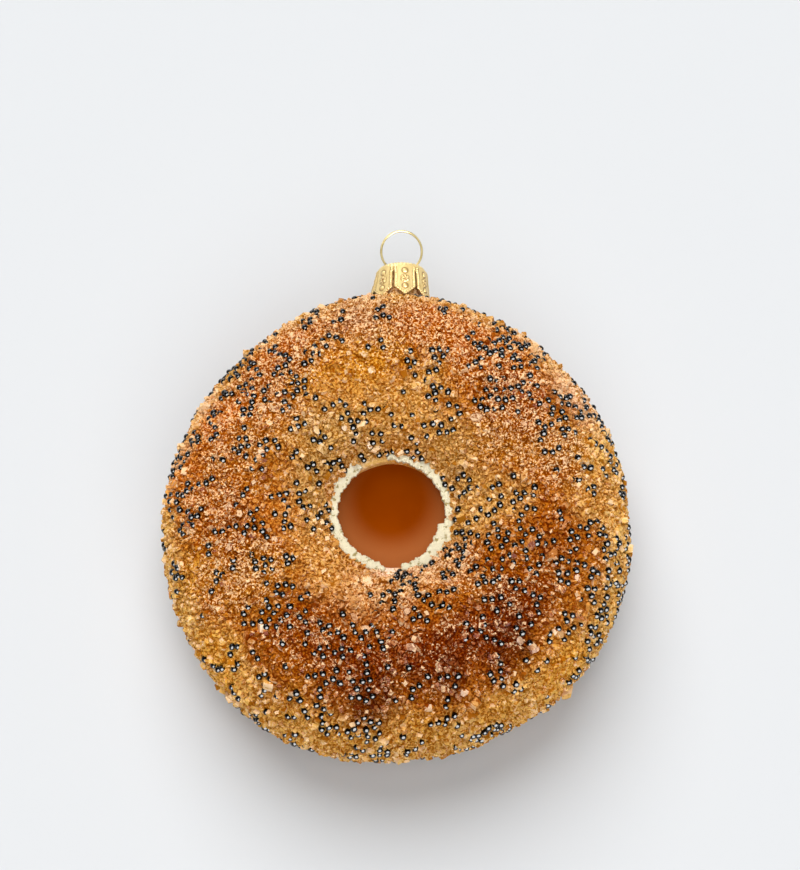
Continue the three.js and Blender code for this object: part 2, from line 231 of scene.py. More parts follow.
FRONT, FRONT_LEDGE = half_section(FRONT_HEIGHT, CREST_RADIUS, CREST_RADIUS)
BACK, BACK_LEDGE = half_section(BACK_HEIGHT, REST_INNER_RADIUS, REST_OUTER_RADIUS)


def even_section(spacing):
    """The whole section from the front lip to the back's, and how far along it each point is."""
    raw = np.concatenate([FRONT, (BACK * [1, -1])[::-1][1:]])
    along = np.concatenate([[0], np.cumsum(np.hypot(*np.diff(raw, axis=0).T))])
    even = np.linspace(0, along[-1], int(along[-1] / spacing) + 1)
    return np.interp(even, along, raw[:, 0]), np.interp(even, along, raw[:, 1]), even


RADII, HEIGHTS, ALONG = even_section(SKIN_SPACING)
ALONG_END = ALONG[-1]
ALONG_RIM = float(np.interp(0, -HEIGHTS, ALONG))


def waves(table, angle):
    return sum(size * np.cos(count * angle - math.radians(turn)) for count, size, turn in table)


def skin(radius, height, angle):
    """Where a place of the section comes to lie when it is turned to an angle."""
    out = smooth((radius - LEDGE_RADIUS) / (BAGEL_RADIUS - LEDGE_RADIUS))
    r = radius * (1 + out * waves(OUTLINE_WAVES, angle))
    lift = np.where(height > 0, 1 + 4 * out * (1 - out) * waves(CREST_WAVES, angle), 1.0)
    return np.stack([
        r * np.cos(angle) + HOLE_SHIFT[0] * (1 - out),
        r * np.sin(angle) * (1 + LENGTH_STRETCH * out) + HOLE_SHIFT[1] * (1 - out),
        height * lift + np.zeros_like(angle),
    ], axis=-1)


LUMPS = 14
lump_turns = rng.normal(size=(LUMPS, 3))
lump_lengths = rng.uniform(5, 15, LUMPS)
lump_turns *= (2 * math.pi / lump_lengths / np.linalg.norm(lump_turns, axis=1))[:, None]
lump_starts = rng.uniform(0, 2 * math.pi, LUMPS)


def lumps(points):
    """Soft unevenness of hand-blown glass, from -1 to 1 or so."""
    return np.sin(points @ lump_turns.T + lump_starts).sum(axis=-1) / math.sqrt(LUMPS)


def on_skin(along, angle):
    """Place and outward direction at a distance along the section and an angle."""

    def at(s, a):
        return skin(np.interp(s, ALONG, RADII), np.interp(s, ALONG, HEIGHTS), a)

    step, turn = 0.05, 0.0025
    place = at(along, angle)
    ahead, behind = np.minimum(along + step, ALONG_END), np.maximum(along - step, 0)
    forward = at(ahead, angle) - at(behind, angle)
    sideways = at(along, angle + turn) - at(along, angle - turn)
    outwards = np.cross(forward, sideways)
    outwards /= np.linalg.norm(outwards, axis=-1, keepdims=True)
    return place + outwards * (LUMP_HEIGHT * lumps(place))[..., None], outwards


def spread(count, first, last, jitter=0.5):
    """Evenly spread places on the skin: equal shares of area, a golden angle apart."""
    s = np.linspace(first, last, 2000)
    area = np.concatenate([[0], np.cumsum(np.interp((s[1:] + s[:-1]) / 2, ALONG, RADII))])
    share = (np.arange(count) + rng.uniform(0.5 - jitter, 0.5 + jitter, count)) / count
    along = np.interp(share * area[-1], area, s)
    cell = math.sqrt(area[-1] * (s[1] - s[0]) * 2 * math.pi / count)
    loose = jitter * cell * rng.uniform(-1, 1, count) / np.interp(along, ALONG, RADII)
    return along, (np.arange(count) * GOLDEN_ANGLE + loose) % (2 * math.pi)


def make_crust(material):
    along, angle = np.meshgrid(ALONG, whole_turn(CRUST_TURNS), indexing="ij")
    points, _ = on_skin(along, angle)
    faces = grid_faces(len(ALONG), CRUST_TURNS, closed=True)
    return new_piece("crust", points.reshape(-1, 3), faces, material, "painted_glass")


def make_bowl(name, ledge, side, material):
    """The smooth bowl that closes the hole: side is 1 on the front and -1 on the back."""
    ball = (BOWL_RADIUS**2 + BOWL_DEPTH**2) / (2 * BOWL_DEPTH)
    tilt = np.linspace(0.01, math.asin(BOWL_RADIUS / ball), BOWL_RINGS)
    tilt, angle = np.meshgrid(tilt, whole_turn(BOWL_TURNS), indexing="ij")
    height = ball * (1 - np.cos(tilt)) - BOWL_DEPTH + ledge - BOWL_FALL
    points = skin(ball * np.sin(tilt) + BOWL_TUCK, side * height, angle)
    faces = grid_faces(BOWL_RINGS, BOWL_TURNS, closed=True)[:, ::-side]
    middle = np.arange(BOWL_TURNS)[::side]
    return new_piece(name, points.reshape(-1, 3), [*faces, middle], material, "brown_bowl")


# ---- The cream rim ----

# Its torn outline: degrees from +X, inner and outer radius. It is open between the
# last place of one stretch and the first of the next.
CREAM_STRETCHES = (
    ((-80, 9.5, 10.5), (-70, 9.4, 11.0), (-55, 9.3, 11.3), (-44, 9.0, 11.8), (-32, 8.7, 11.7),
     (-22, 8.55, 11.4), (-13, 8.6, 11.1), (-11, 9.45, 11.0), (0, 9.5, 10.8), (20, 9.4, 11.0),
     (40, 9.4, 11.3), (55, 9.5, 11.4), (70, 9.6, 11.3), (82, 9.75, 11.2), (90, 9.9, 11.1),
     (95, 10.2, 10.8)),
    ((121, 9.8, 11.2), (128, 9.5, 11.5), (140, 9.45, 11.5), (155, 9.5, 11.2), (170, 9.5, 11.0),
     (185, 9.4, 11.0), (200, 9.2, 11.1), (215, 9.2, 11.0), (230, 9.1, 10.9), (245, 9.0, 10.9),
     (256, 9.2, 10.9), (264, 9.9, 10.6)),
)
CREAM_STEP = 0.4  # degrees
CREAM_TAPER = 1.5  # degrees over which a stretch thins out at its ends
CREAM_TEETH = ((23, 0.13), (47, 0.1), (95, 0.06), (190, 0.04))  # how many to a turn, and their size
# Its section: the share of the width from the inner edge, and the share of the thickness.
CREAM_ACROSS = np.array([0, 0, 0.05, 0.14, 0.28, 0.43, 0.58, 0.72, 0.86, 0.95, 1, 1])
CREAM_RISE = np.array([-0.3, 0.5, 0.85, 1, 1.05, 0.95, 1.0, 1.05, 0.95, 0.75, 0.4, -0.3])


def torn(angle, seed):
    """A torn edge: zigzags of several widths."""
    local = np.random.default_rng(seed)
    total = np.zeros_like(angle)
    for count, size in CREAM_TEETH:
        turn = local.uniform(0, 2 * math.pi)
        bend = 0.9 * np.sin(angle * count * 0.37 + local.uniform(0, 6))
        total += size * np.arcsin(np.sin(angle * count + turn + bend)) * 2 / math.pi
    return total


def cream_stretch(index, half, side):
    """One stretch of the rim as a grid of points, laid on half a section of the skin."""
    places, inner, outer = np.array(CREAM_STRETCHES[index]).T
    angle = np.radians(np.arange(places[0], places[-1], CREAM_STEP))
    degrees = np.degrees(angle)
    inner = np.interp(degrees, places, inner) + torn(angle, 7 + index)
    outer = np.interp(degrees, places, outer) + torn(angle, 17 + index)
    radius = inner + (outer - inner) * CREAM_ACROSS[:, None]
    height = np.interp(np.maximum(radius, LIP_RADIUS), half[:, 0], half[:, 1])
    points = skin(radius, side * height, np.broadcast_to(angle, radius.shape))
    from_end = np.minimum(degrees - places[0], places[-1] - degrees)
    full = np.sqrt(np.clip(from_end / CREAM_TAPER, 0.02, 1))
    rise = CREAM_RISE[:, None]
    grain = CREAM_GRAIN * np.sin(points @ (lump_turns[:5] * 9).T).sum(axis=-1)
    points[..., 2] += side * (CREAM_THICKNESS * rise * full + np.where(rise > 0, grain, 0))
    return points.reshape(-1, 3), grid_faces(*radius.shape, closed=False)[:, ::side]


def make_cream(name, half, side, material):
    stretches = [cream_stretch(i, half, side) for i in range(len(CREAM_STRETCHES))]
    return new_piece(name, *joined(stretches), material, "cream_rim")


# ---- Glued grit, chips and beads ----


def hull_of(points):
    """The convex hull of a few points, as its corners and triangles."""
    shape = bmesh.new()
    for p in points:
        shape.verts.new(p)
    hull = bmesh.ops.convex_hull(shape, input=shape.verts)
    inside = hull["geom_interior"] + hull["geom_unused"]
    loose = {v for v in inside if isinstance(v, bmesh.types.BMVert)}
    bmesh.ops.delete(shape, geom=list(loose), context="VERTS")
    bmesh.ops.recalc_face_normals(shape, faces=shape.faces)
    return shape_of(shape)


def shape_of(shape):
    """A bmesh's corners and triangles. The bmesh is freed."""
    shape.verts.index_update()
    corners = np.array([v.co for v in shape.verts])
    triangles = np.array([[v.index for v in f.verts] for f in shape.faces])
    shape.free()
    return corners, triangles


def crystal_templates(count, corners, stretch):
    """Irregular convex crystals about 1 across."""
    templates = []
    for _ in range(count):
        points = rng.normal(size=(corners, 3))
        points /= np.linalg.norm(points, axis=1, keepdims=True)
        reach = 0.5 * rng.uniform(0.85, 1.1, (corners, 1))
        templates.append(hull_of(points * np.array(stretch) * reach))
    return templates


def chip_templates(count, corners, narrow, thick):
    """Flat-topped chips about 1 across: bevelled plates with an uneven outline."""
    templates = []
    for _ in range(count):
        turn = (np.arange(corners) + rng.uniform(-0.28, 0.28, corners)) * 2 * math.pi / corners
        reach = 0.5 * rng.uniform(0.75, 1.1, corners)
        x, y = reach * np.cos(turn), narrow * reach * np.sin(turn)
        foot = np.stack([x, y, np.full(corners, -thick / 2)], axis=1)
        inset = rng.uniform(0.66, 0.86, corners)
        rise = rng.uniform(0.8, 1.1, corners)
        top = foot * np.stack([inset, inset, -rise], axis=1)
        top[:, :2] += rng.uniform(-0.07, 0.07, 2)
        templates.append(hull_of(np.concatenate([foot, top])))
    return templates


def bead_templates(count):
    """Balls about 1 across, a little squashed and dented."""
    ball = bmesh.new()
    bmesh.ops.create_icosphere(ball, subdivisions=2, radius=0.5)
    shape, triangles = shape_of(ball)
    templates = []
    for _ in range(count):
        dents = np.sin(shape @ rng.normal(0, 5, (3, 3)) + rng.uniform(0, 6, 3)).sum(axis=1)
        squash = rng.uniform(0.88, 1.08, 3)
        templates.append((shape * squash * (1 + 0.035 * dents)[:, None], triangles))
    return templates


def random_turns(count):
    """Random rotation matrices."""
    q = rng.normal(size=(count, 4))
    w, x, y, z = (q / np.linalg.norm(q, axis=1, keepdims=True)).T
    return np.stack([
        np.stack([1 - 2 * (y * y + z * z), 2 * (x * y - z * w), 2 * (x * z + y * w)], axis=1),
        np.stack([2 * (x * y + z * w), 1 - 2 * (x * x + z * z), 2 * (y * z - x * w)], axis=1),
        np.stack([2 * (x * z - y * w), 2 * (y * z + x * w), 1 - 2 * (x * x + y * y)], axis=1),
    ], axis=1)


def flat_turns(outwards, lean):
    """Rotations that lay a template's Z along the skin's outward direction, more or less."""
    z = outwards + lean * rng.normal(size=outwards.shape)
    z /= np.linalg.norm(z, axis=1, keepdims=True)
    x = np.cross(z, rng.normal(size=z.shape))
    x /= np.linalg.norm(x, axis=1, keepdims=True)
    return np.stack([x, np.cross(z, x), z], axis=2)


def painted_facet_light(shape, triangles, count):
    """Painted light for each facet of a template's copies, from 0 to 1: painted highlight and
    painted shade.

    A chip's flat middle shows the paint below, and its bevels are painted bright on one side and
    dark on the other, as if lit from a random side.
    """
    a, b, c = (shape[triangles[:, k]] for k in range(3))
    normals = np.cross(b - a, c - a)
    normals /= np.linalg.norm(normals, axis=1, keepdims=True)
    side = rng.uniform(0, 2 * math.pi, count)
    lit = np.outer(np.cos(side), normals[:, 0]) + np.outer(np.sin(side), normals[:, 1])
    return np.clip(0.3 + 0.6 * lit + rng.uniform(-0.1, 0.1, lit.shape), 0, 1).ravel()


def scatter(name, templates, places, turns, sizes, material, slot, shade_smooth=False):
    """One joined mesh with a randomly picked template at each place."""
    pick = rng.integers(len(templates), size=len(places))
    points, corners, facets, start = [], [], [], 0
    for index, (shape, triangles) in enumerate(templates):
        own = np.nonzero(pick == index)[0]
        turned = np.einsum("nij,kj->nki", turns[own], shape)
        moved = turned * sizes[own, None, None] + places[own, None, :]
        shifts = start + np.arange(len(own)) * len(shape)
        corners.append((triangles[None, :, :] + shifts[:, None, None]).reshape(-1, 3))
        points.append(moved.reshape(-1, 3))
        facets.append(painted_facet_light(shape, triangles, len(own)))
        start += len(own) * len(shape)
    points, corners = np.concatenate(points), np.concatenate(corners)
    piece = new_piece(name, points, corners, material, slot, shade_smooth)
    # The facet attribute carries painted light: a painted highlight or painted shade for each
    # facet.
    facet = piece.data.attributes.new("facet", "FLOAT", "FACE")
    facet.data.foreach_set("value", np.concatenate(facets).astype(np.float32))
    return piece


def off_the_cream(along, margin=0.0):
    """Whether a place is clear of the cream and the smooth lip beside it."""
    return np.interp(along, ALONG, RADII) > CREAM_CLEARANCE + margin


def clear_of_cap(place, margin):
    across = np.hypot(place[:, 0] - NECK_SHIFT, place[:, 2])
    return (across > CAP_SKIRT_RADIUS + margin) | (place[:, 1] < CAP_REACH)


def glued(place, outwards, grain, varied, low, high):
    """Grains' sizes, and their places, lifted off the skin by a share of their size."""
    sizes = grain * np.exp(rng.normal(0, varied, len(place)))
    return sizes, place + outwards * (sizes * rng.uniform(low, high, len(place)))[:, None]


def make_fine_grit(name, first, last, count, templates, material):
    along, angle = spread(count, first, last)
    keep = off_the_cream(along)
    place, outwards = on_skin(along[keep], angle[keep])
    sizes, place = glued(place, outwards, FINE_GRAIN, 0.28, -0.05, 0.35)
    sizes[~clear_of_cap(place, 0.2)] *= 0.6
    turns = flat_turns(outwards, 0.32)
    return scatter(name, templates, place, turns, sizes, material, "glass_grit")


def make_coarse_grit(material):
    templates = chip_templates(24, 6, 0.66, 0.5)
    along, angle = spread(COARSE_GRAINS, 1.2, ALONG_END - 1.2, jitter=3.0)
    place, outwards = on_skin(along, angle)
    keep = off_the_cream(along, 0.3) & clear_of_cap(place, 0.8)
    sizes, place = glued(place[keep], outwards[keep], COARSE_GRAIN, 0.25, 0.08, 0.36)
    turns = flat_turns(outwards[keep], 0.4)
    return scatter("grit_coarse", templates, place, turns, sizes, material, "glass_grit")


# The front's largest flakes: degrees from +X, distance from the hole's axis, and size.
LARGE_FLAKES = (
    (321, 35.6, 3.0), (46, 21.2, 2.4), (137, 27.8, 2.5), (313, 34.8, 2.2), (276, 26.4, 2.4),
    (253, 22.0, 2.1), (279, 36.1, 1.9), (183, 28.4, 2.2), (37, 32.8, 2.1), (99, 23.8, 2.0),
)


def front_along(radius):
    """How far along the section the front reaches a distance from the hole's axis."""
    front = ALONG <= ALONG_RIM
    return np.interp(radius, RADII[front], ALONG[front])


def make_flakes(material):
    templates = chip_templates(16, 7, 0.8, 0.3)
    along, angle = spread(FLAKES, 2.5, ALONG_END - 2.5, jitter=2.0)
    sizes = FLAKE * rng.uniform(0.65, 1.0, len(along))
    degrees, radius, large = np.array(LARGE_FLAKES).T
    along = np.concatenate([along, front_along(radius)])
    angle = np.concatenate([angle, np.radians(degrees)])
    sizes = np.concatenate([sizes, large])
    place, outwards = on_skin(along, angle)
    keep = clear_of_cap(place, 2.5) & off_the_cream(along, 0.9)
    place, outwards, sizes = place[keep], outwards[keep], sizes[keep]
    turns = flat_turns(outwards, 0.22)
    lifted = place + outwards * 0.3
    return scatter("glass_flakes", templates, lifted, turns, sizes, material, "glass_grit")


# Where beads lie thicker or thinner than elsewhere, on either face: degrees from +X, distance
# from the hole's axis, the patch's radius, and how much is added.
BEAD_PATCHES = (
    (0, 16, 5, 1.2), (100, 15, 5, 1.6), (180, 14, 4, 1.5), (310, 17, 7, 0.6), (345, 20, 6, 3.0),
    (280, 20, 6, 0.7), (280, 14, 4, 0.5), (138, 22, 5, 1.2), (142, 30, 5, 1.2), (0, 35, 6, -0.6),
    (120, 40, 5, -1.0), (42, 31, 7, 0.5), (60, 26, 5, 1.5), (63, 16, 5, 2.2), (5, 26, 6, 0.3),
    (142, 35, 8, 1.5), (160, 29, 5, 0.6), (222, 27, 5, 1.2), (245, 30, 6, 0.4),
    (325, 27, 7, 0.5), (341, 34, 6, 2.4), (300, 28, 5, 0.3), (180, 38, 4, 0.4),
    (220, 26, 4, 1.2), (260, 26, 5, 0.9), (90, 38, 8, -0.4), (165, 36, 5, -0.8),
    (188, 34, 6, -0.5), (225, 17, 7, -0.7), (22, 19, 7, -1.6), (190, 21, 6, -0.4),
    (105, 27, 7, -0.9), (265, 37, 6, -0.5), (80, 19, 5, -0.7), (78, 34, 5, -0.5),
    (145, 17, 5, -0.7), (160, 16, 5, -0.5), (205, 39, 5, -0.9), (222, 40, 5, -0.8),
    (233, 19, 6, -1.6), (300, 21, 5, -0.7),
)
CLUSTER_SIZES = (1, 2, 3, 4, 6, 8, 11)
CLUSTER_SHARES = (0.38, 0.2, 0.13, 0.1, 0.08, 0.06, 0.05)
CLUSTER_SEEDS = 6000  # places where a cluster may start, more than are needed


def bead_density(along, angle):
    place, _ = on_skin(along, angle)
    density = np.ones(len(place))
    for degrees, radius, width, extra in BEAD_PATCHES:
        turn = math.radians(degrees)
        x, y = radius * math.cos(turn), radius * math.sin(turn)
        density += extra * hump(np.hypot(place[:, 0] - x, place[:, 1] - y) / width)
    return density


def beside(along, angle):
    """A random place about one bead away."""
    turn = rng.uniform(0, 2 * math.pi)
    gap = BEAD_DIAMETER * rng.uniform(0.98, 1.12)
    radius = np.interp(along, ALONG, RADII)
    return along + gap * math.cos(turn), angle + gap * math.sin(turn) / radius


def has_room(along, place, taken):
    """Whether a bead can lie at a place, clear of the cap, the cream and the other beads."""
    if not clear_of_cap(place[None], 0.9)[0] or not off_the_cream(along):
        return False
    return (np.linalg.norm(taken - place, axis=1) >= BEAD_DIAMETER * 0.95).all()


def bead_places(count):
    """Places and outward directions of beads, singly and in small clusters."""
    along, angle = spread(CLUSTER_SEEDS, 0.6, ALONG_END - 0.6, jitter=6)
    order = rng.permutation(CLUSTER_SEEDS)
    density = bead_density(along, angle)
    cluster_sizes = rng.choice(CLUSTER_SIZES, size=CLUSTER_SEEDS, p=CLUSTER_SHARES)
    places, directions, done = np.zeros((count, 3)), np.zeros((count, 3)), 0
    for index, size in zip(order, cluster_sizes):
        if done == count:
            break
        if rng.uniform(0, 2.4) > density[index]:
            continue
        members = [(along[index], angle[index])]
        for step in range(size):
            if done == count:
                break
            spot = members[rng.integers(len(members))]
            if step:
                spot = beside(*spot)
            if not 0.4 < spot[0] < ALONG_END - 0.4:
                continue
            place, outwards = on_skin(*spot)
            if has_room(spot[0], place, places[:done]):
                places[done], directions[done] = place, outwards
                members.append(spot)
                done += 1
    return places[:done], directions[:done]


def make_beads(material):
    templates = bead_templates(12)
    place, outwards = bead_places(BEADS)
    sizes = BEAD_DIAMETER * rng.uniform(0.85, 1.05, len(place))
    place = place + outwards * rng.uniform(0.18, 0.48, len(place))[:, None]
    turns = random_turns(len(place))
    return scatter("black_beads", templates, place, turns, sizes, material, "black_beads", True)


# ---- The neck ----


def about_neck(radius, along, turn):
    """Points round the neck's axis, from how far along +Y they lie and their turn from +Z."""
    x, z = radius * np.sin(turn) + NECK_SHIFT, radius * np.cos(turn)
    return np.stack([x, np.broadcast_to(along, x.shape), z], axis=-1)


def on_neck(along, turn):
    up = (along - NECK_FLARE_FOOT) / (NECK_FLARE_TOP - NECK_FLARE_FOOT)
    return about_neck(NECK_RADIUS + NECK_FLARE * (1 - smooth(up)), along, turn)


def make_neck(material):
    along = np.linspace(NECK_START, NECK_END, NECK_RINGS)
    along, turn = np.meshgrid(along, whole_turn(NECK_TURNS), indexing="ij")
    points = on_neck(along, turn).reshape(-1, 3)
    end = np.arange(len(points) - NECK_TURNS, len(points))
    faces = [*grid_faces(NECK_RINGS, NECK_TURNS, closed=True), end]
    return new_piece("neck", points, faces, material, "painted_glass")


def make_neck_grit(material):
    templates = crystal_templates(12, 6, (1.0, 0.8, 0.65))
    along = rng.uniform(*NECK_GRIT, NECK_GRAINS)
    place = on_neck(along, rng.uniform(0, 2 * math.pi, NECK_GRAINS))
    sizes = NECK_GRAIN * np.exp(rng.normal(0, 0.25, NECK_GRAINS))
    turns = random_turns(NECK_GRAINS)
    return scatter("neck_grit", templates, place, turns, sizes, material, "glass_grit")


# ---- The cap and the loop ----

BORDER_PITCH = 0.36  # of the fine dots along a petal's edges
BORDER_INSET = 0.32
BORDER_DOT = 0.15
RIDGE_INSET = 0.62
BUTTONS = (1.15, 4.3)  # below the petal's top, as is the star
BUTTON = 0.36
STAR = 2.75
STAR_RAY = 0.23
STAR_REACH = (0.46, 0.52)


def stamped(across, down, half):
    """A petal's stamped relief, from millimetres across and below its top.

    Returns its height, and how much painted shade a place gets in the ring round a raised dot.
    """
    from_border = np.abs(across) - (half - BORDER_INSET)
    nearest = np.round(down / BORDER_PITCH) * BORDER_PITCH
    border = np.hypot(from_border, down - nearest) / BORDER_DOT
    dots = [(np.where(down > 0.2, border, 9), 0.15)]
    for button in BUTTONS:
        dots.append((np.hypot(across, down - button) / BUTTON, 0.2))
    for turn in np.radians(np.arange(30, 390, 60)):
        x, y = STAR_REACH[0] * math.cos(turn), STAR + STAR_REACH[1] * math.sin(turn)
        dots.append((np.hypot(across - x, down - y) / STAR_RAY, 0.16))
    ridge = 0.05 * hump((np.abs(across) - (half - RIDGE_INSET)) / 0.07)
    domes = [height * np.sqrt(np.clip(1 - away**2, 0, 1)) for away, height in dots]
    dot_shade_ring = np.max([hump((away - 1.35) / 0.5) for away, _ in dots], axis=0)
    return ridge + sum(domes), dot_shade_ring


def petal(index):
    """One petal of the cap: its points, its faces and its painted shade round the raised dots."""
    skirt = CAP_HEIGHT - CAP_EDGE_RADIUS
    down = np.linspace(0, skirt, PETAL_ROWS)[:, None]
    radius = CAP_TOP_RADIUS + (CAP_SKIRT_RADIUS - CAP_TOP_RADIUS) * (down / skirt)
    slit = SLIT_WIDTH / 2 * smooth((down - (skirt - SLIT_HEIGHT)) / 0.5) + 0.01
    into_point = np.clip((down - (skirt - PETAL_POINT)) / PETAL_POINT, 0, 1)
    edge = (radius * math.pi / PETALS - slit) * (1 - 0.92 * into_point)
    across = edge * np.linspace(-1, 1, PETAL_COLUMNS)
    angle = math.radians(PETAL_TURN) + index * 2 * math.pi / PETALS + across / radius
    from_bend = np.angle(np.exp(1j * (angle + math.pi / 2))) / BEND_SPREAD
    bend = BENT_PETAL * ((down + CAP_EDGE_RADIUS) / CAP_HEIGHT) ** 2 * hump(from_bend)
    relief, dot_shade_ring = stamped(across, down, edge)
    points = about_neck(radius + bend + relief, CAP_TOP - CAP_EDGE_RADIUS - down, angle)
    faces = grid_faces(PETAL_ROWS, PETAL_COLUMNS, closed=False)
    return points.reshape(-1, 3), faces, dot_shade_ring.ravel()


def cap_top():
    """The cap's flat top with its rounded, knurled shoulder: points, faces and its painted shade,
    which is none.
    """
    flat = np.linspace(0.3, CAP_TOP_RADIUS - CAP_EDGE_RADIUS, 14)
    bend = np.linspace(0, math.pi / 2, 12)[1:]
    r = np.concatenate([flat, CAP_TOP_RADIUS - CAP_EDGE_RADIUS * (1 - np.sin(bend))])
    fall = np.concatenate([np.zeros(len(flat)), CAP_EDGE_RADIUS * (1 - np.cos(bend))])
    angle = whole_turn(CAP_TURNS)
    knurl = 0.08 * hump((r - (CAP_TOP_RADIUS - 0.35)) / 0.28)[:, None] * np.cos(angle * 42)
    points = about_neck(r[:, None] + knurl, CAP_TOP - fall[:, None] + 0.5 * knurl, angle)
    points = points.reshape(-1, 3)
    return points, grid_faces(len(r), CAP_TURNS, closed=True)[:, ::-1], np.zeros(len(points))


def make_cap(material):
    shapes = [cap_top()] + [petal(i) for i in range(PETALS)]
    points, faces = joined(shape[:2] for shape in shapes)
    cap = new_piece("stamped_cap", points, faces, material, "gold_cap")
    # The painted shade round the raised dots, kept on the mesh for the gold.
    painted_dot_shade = np.concatenate([shape[2] for shape in shapes]).astype(np.float32)
    cap.data.attributes.new("dot_shade_ring", "FLOAT", "POINT").data.foreach_set("value", painted_dot_shade)
    wall = cap.modifiers.new("wall", "SOLIDIFY")
    wall.thickness = CAP_SHEET * MM
    wall.offset = -1
    return cap


def make_loop(material):
    """The spring wire: two legs that spread in the neck, and the ring between them."""
    hole = WIRE_HOLE_SPACING / 2
    leg = [(-WIRE_LEG_SPREAD, WIRE_LEG_END), (-WIRE_LEG_SPREAD, WIRE_LEG_END + 3),
           (-hole, CAP_TOP - 1.6), (-hole, CAP_TOP - 0.2)]
    turn = np.radians(np.linspace(LOOP_START, LOOP_END, 40))
    ring = zip(LOOP_RADIUS * np.cos(turn), LOOP_CENTRE + LOOP_RADIUS * LOOP_STRETCH * np.sin(turn))
    path = [*leg, *ring, *((-x, y) for x, y in leg[::-1])]
    curve = bpy.data.curves.new("wire_loop", "CURVE")
    curve.dimensions = "3D"
    spline = curve.splines.new("POLY")
    spline.points.add(len(path) - 1)
    for point, (x, y) in zip(spline.points, path):
        place = (np.array([x + NECK_SHIFT, y, 0]) + CENTRE) * MM
        point.co = (*place, 1)
    curve.bevel_depth = WIRE_DIAMETER / 2 * MM
    curve.bevel_resolution = 4
    curve.materials.append(material)
    loop = bpy.data.objects.new("wire_loop", curve)
    bpy.context.scene.collection.objects.link(loop)
    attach(loop, "root")
    return loop


# ---- Paint ----


def srgb(text):
    """A colour written as RRGGBB, in linear light."""
    parts = [int(text[i : i + 2], 16) / 255 for i in (0, 2, 4)]
    return (*(p / 12.92 if p <= 0.04045 else ((p + 0.055) / 1.055) ** 2.4 for p in parts), 1)


def grey(level):
    return (level, level, level, 1)


def frosting(spots):
    """Spots of frost as spots of white, for a map of how thick it lies."""
    return [(*spot, grey(1.0), amount) for *spot, amount in spots]


TAN, BEIGE, SALMON = srgb("E4B76C"), srgb("EAB462"), srgb("E2A868")
PEACH, PALE_PEACH, DUSKY = srgb("FFD6B0"), srgb("FFDCC0"), srgb("C88A5C")
AMBER, ORANGE, GOLD = srgb("E0A036"), srgb("E28C24"), srgb("F6BA4E")
HONEY, STRAW, RUSSET = srgb("CC8E34"), srgb("F4C46E"), srgb("E48E30")
TOAST, DARK_TOAST, UMBER = srgb("B8660E"), srgb("963E04"), srgb("7A3002")
BASE_PAINT = srgb("CC7E22")

